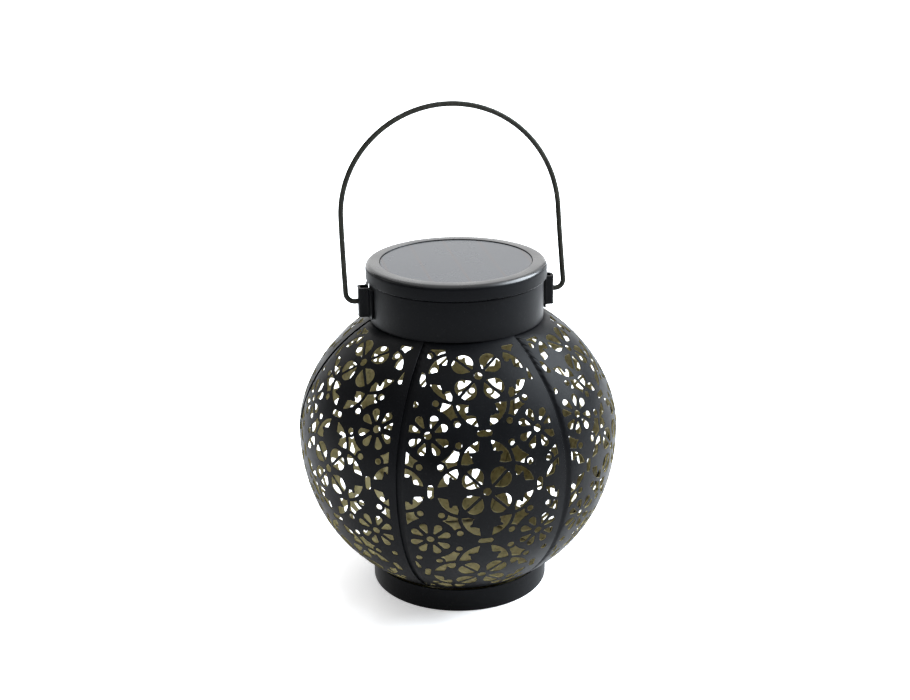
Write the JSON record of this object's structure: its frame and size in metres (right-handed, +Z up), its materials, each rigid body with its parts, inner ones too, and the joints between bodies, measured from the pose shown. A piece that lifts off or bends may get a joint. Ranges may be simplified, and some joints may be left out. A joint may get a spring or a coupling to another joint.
{
  "type": "solar lantern",
  "caption": "Round pierced sheet-metal lantern with a lift-off solar lid, a swinging wire bail and a low base ring.",
  "frame": {"origin": "centre of the base ring on the surface the lantern stands on", "axes": "+Z up along the globe's axis, X along the bail's pivot line, -Y towards the front"},
  "size_m": [0.1548, 0.1548, 0.2357],
  "materials": {
    "sheet_black": "black powder coat outside, dull gold paint inside, satin",
    "inside_gold": "dull gold paint",
    "wire_black": "black coated wire, satin",
    "lid_black": "satin black",
    "panel_resin": "clear cast resin, smooth",
    "silicon": "dark amorphous silicon",
    "backer_white": "fibreboard",
    "seal_silicone": "soft silicone",
    "housing_black": "moulded, fine texture",
    "screw_steel": "zinc plated",
    "battery_green": "shrink sleeve",
    "contact_nickel": "nickel plated spring steel",
    "board_green": "solder mask",
    "chip_black": "moulded epoxy",
    "inductor_teal": "lacquer",
    "led_resin": "clear warm epoxy",
    "switch_steel": "tinned shell",
    "slider_white": "moulded",
    "lead_red": "PVC sleeve",
    "lead_black": "PVC sleeve"
  },
  "bodies": {
    "lantern_body": {"gore_1": "sheet_black", "gore_2": "sheet_black", "gore_3": "sheet_black", "gore_4": "sheet_black", "gore_5": "sheet_black", "gore_6": "sheet_black", "base_ring": "sheet_black", "base_plate": "inside_gold", "neck_collar": "sheet_black", "ear_right": "sheet_black", "ear_left": "sheet_black"},
    "bail": {"bail_wire": "wire_black"},
    "solar_lid": {"lid_bezel": "lid_black", "panel_cover": "panel_resin", "solar_cell_1": "silicon", "solar_cell_2": "silicon", "solar_cell_3": "silicon", "solar_cell_4": "silicon", "panel_backer": "backer_white", "housing_seal": "seal_silicone", "module_housing": "housing_black", "housing_screw_1": "screw_steel", "housing_screw_2": "screw_steel", "housing_screw_3": "screw_steel", "battery_cell": "battery_green", "battery_contact": "contact_nickel", "battery_spring": "contact_nickel", "circuit_board": "board_green", "charge_chip": "chip_black", "inductor": "inductor_teal", "led_lamp": "led_resin", "switch_body": "switch_steel", "panel_lead_positive": "lead_red", "panel_lead_negative": "lead_black", "battery_lead_positive": "lead_red", "battery_lead_negative": "lead_black"},
    "light_switch": {"switch_slider": "slider_white"},
    "battery_hatch": {"battery_door": "housing_black", "door_screw": "screw_steel"}
  },
  "joints": [
    {"name": "bail_swing", "type": "hinge", "parent": "lantern_body", "child": "bail", "pos_m": [0, 0, 0.1464], "axis": [1, 0, 0], "range_deg": [-111.7, 132.3]},
    {"name": "lid_lift", "type": "slide", "parent": "lantern_body", "child": "solar_lid", "axis": [0, 0, 1], "range_m": [0, 0.04]},
    {"name": "switch_slide", "type": "slide", "parent": "solar_lid", "child": "light_switch", "axis": [1, 0, 0], "range_m": [0, 0.002]},
    {"name": "hatch_swing", "type": "hinge", "parent": "solar_lid", "child": "battery_hatch", "pos_m": [-0.0279, 0.013, 0.1425], "axis": [0, 1, 0], "range_deg": [0, 80]}
  ]
}
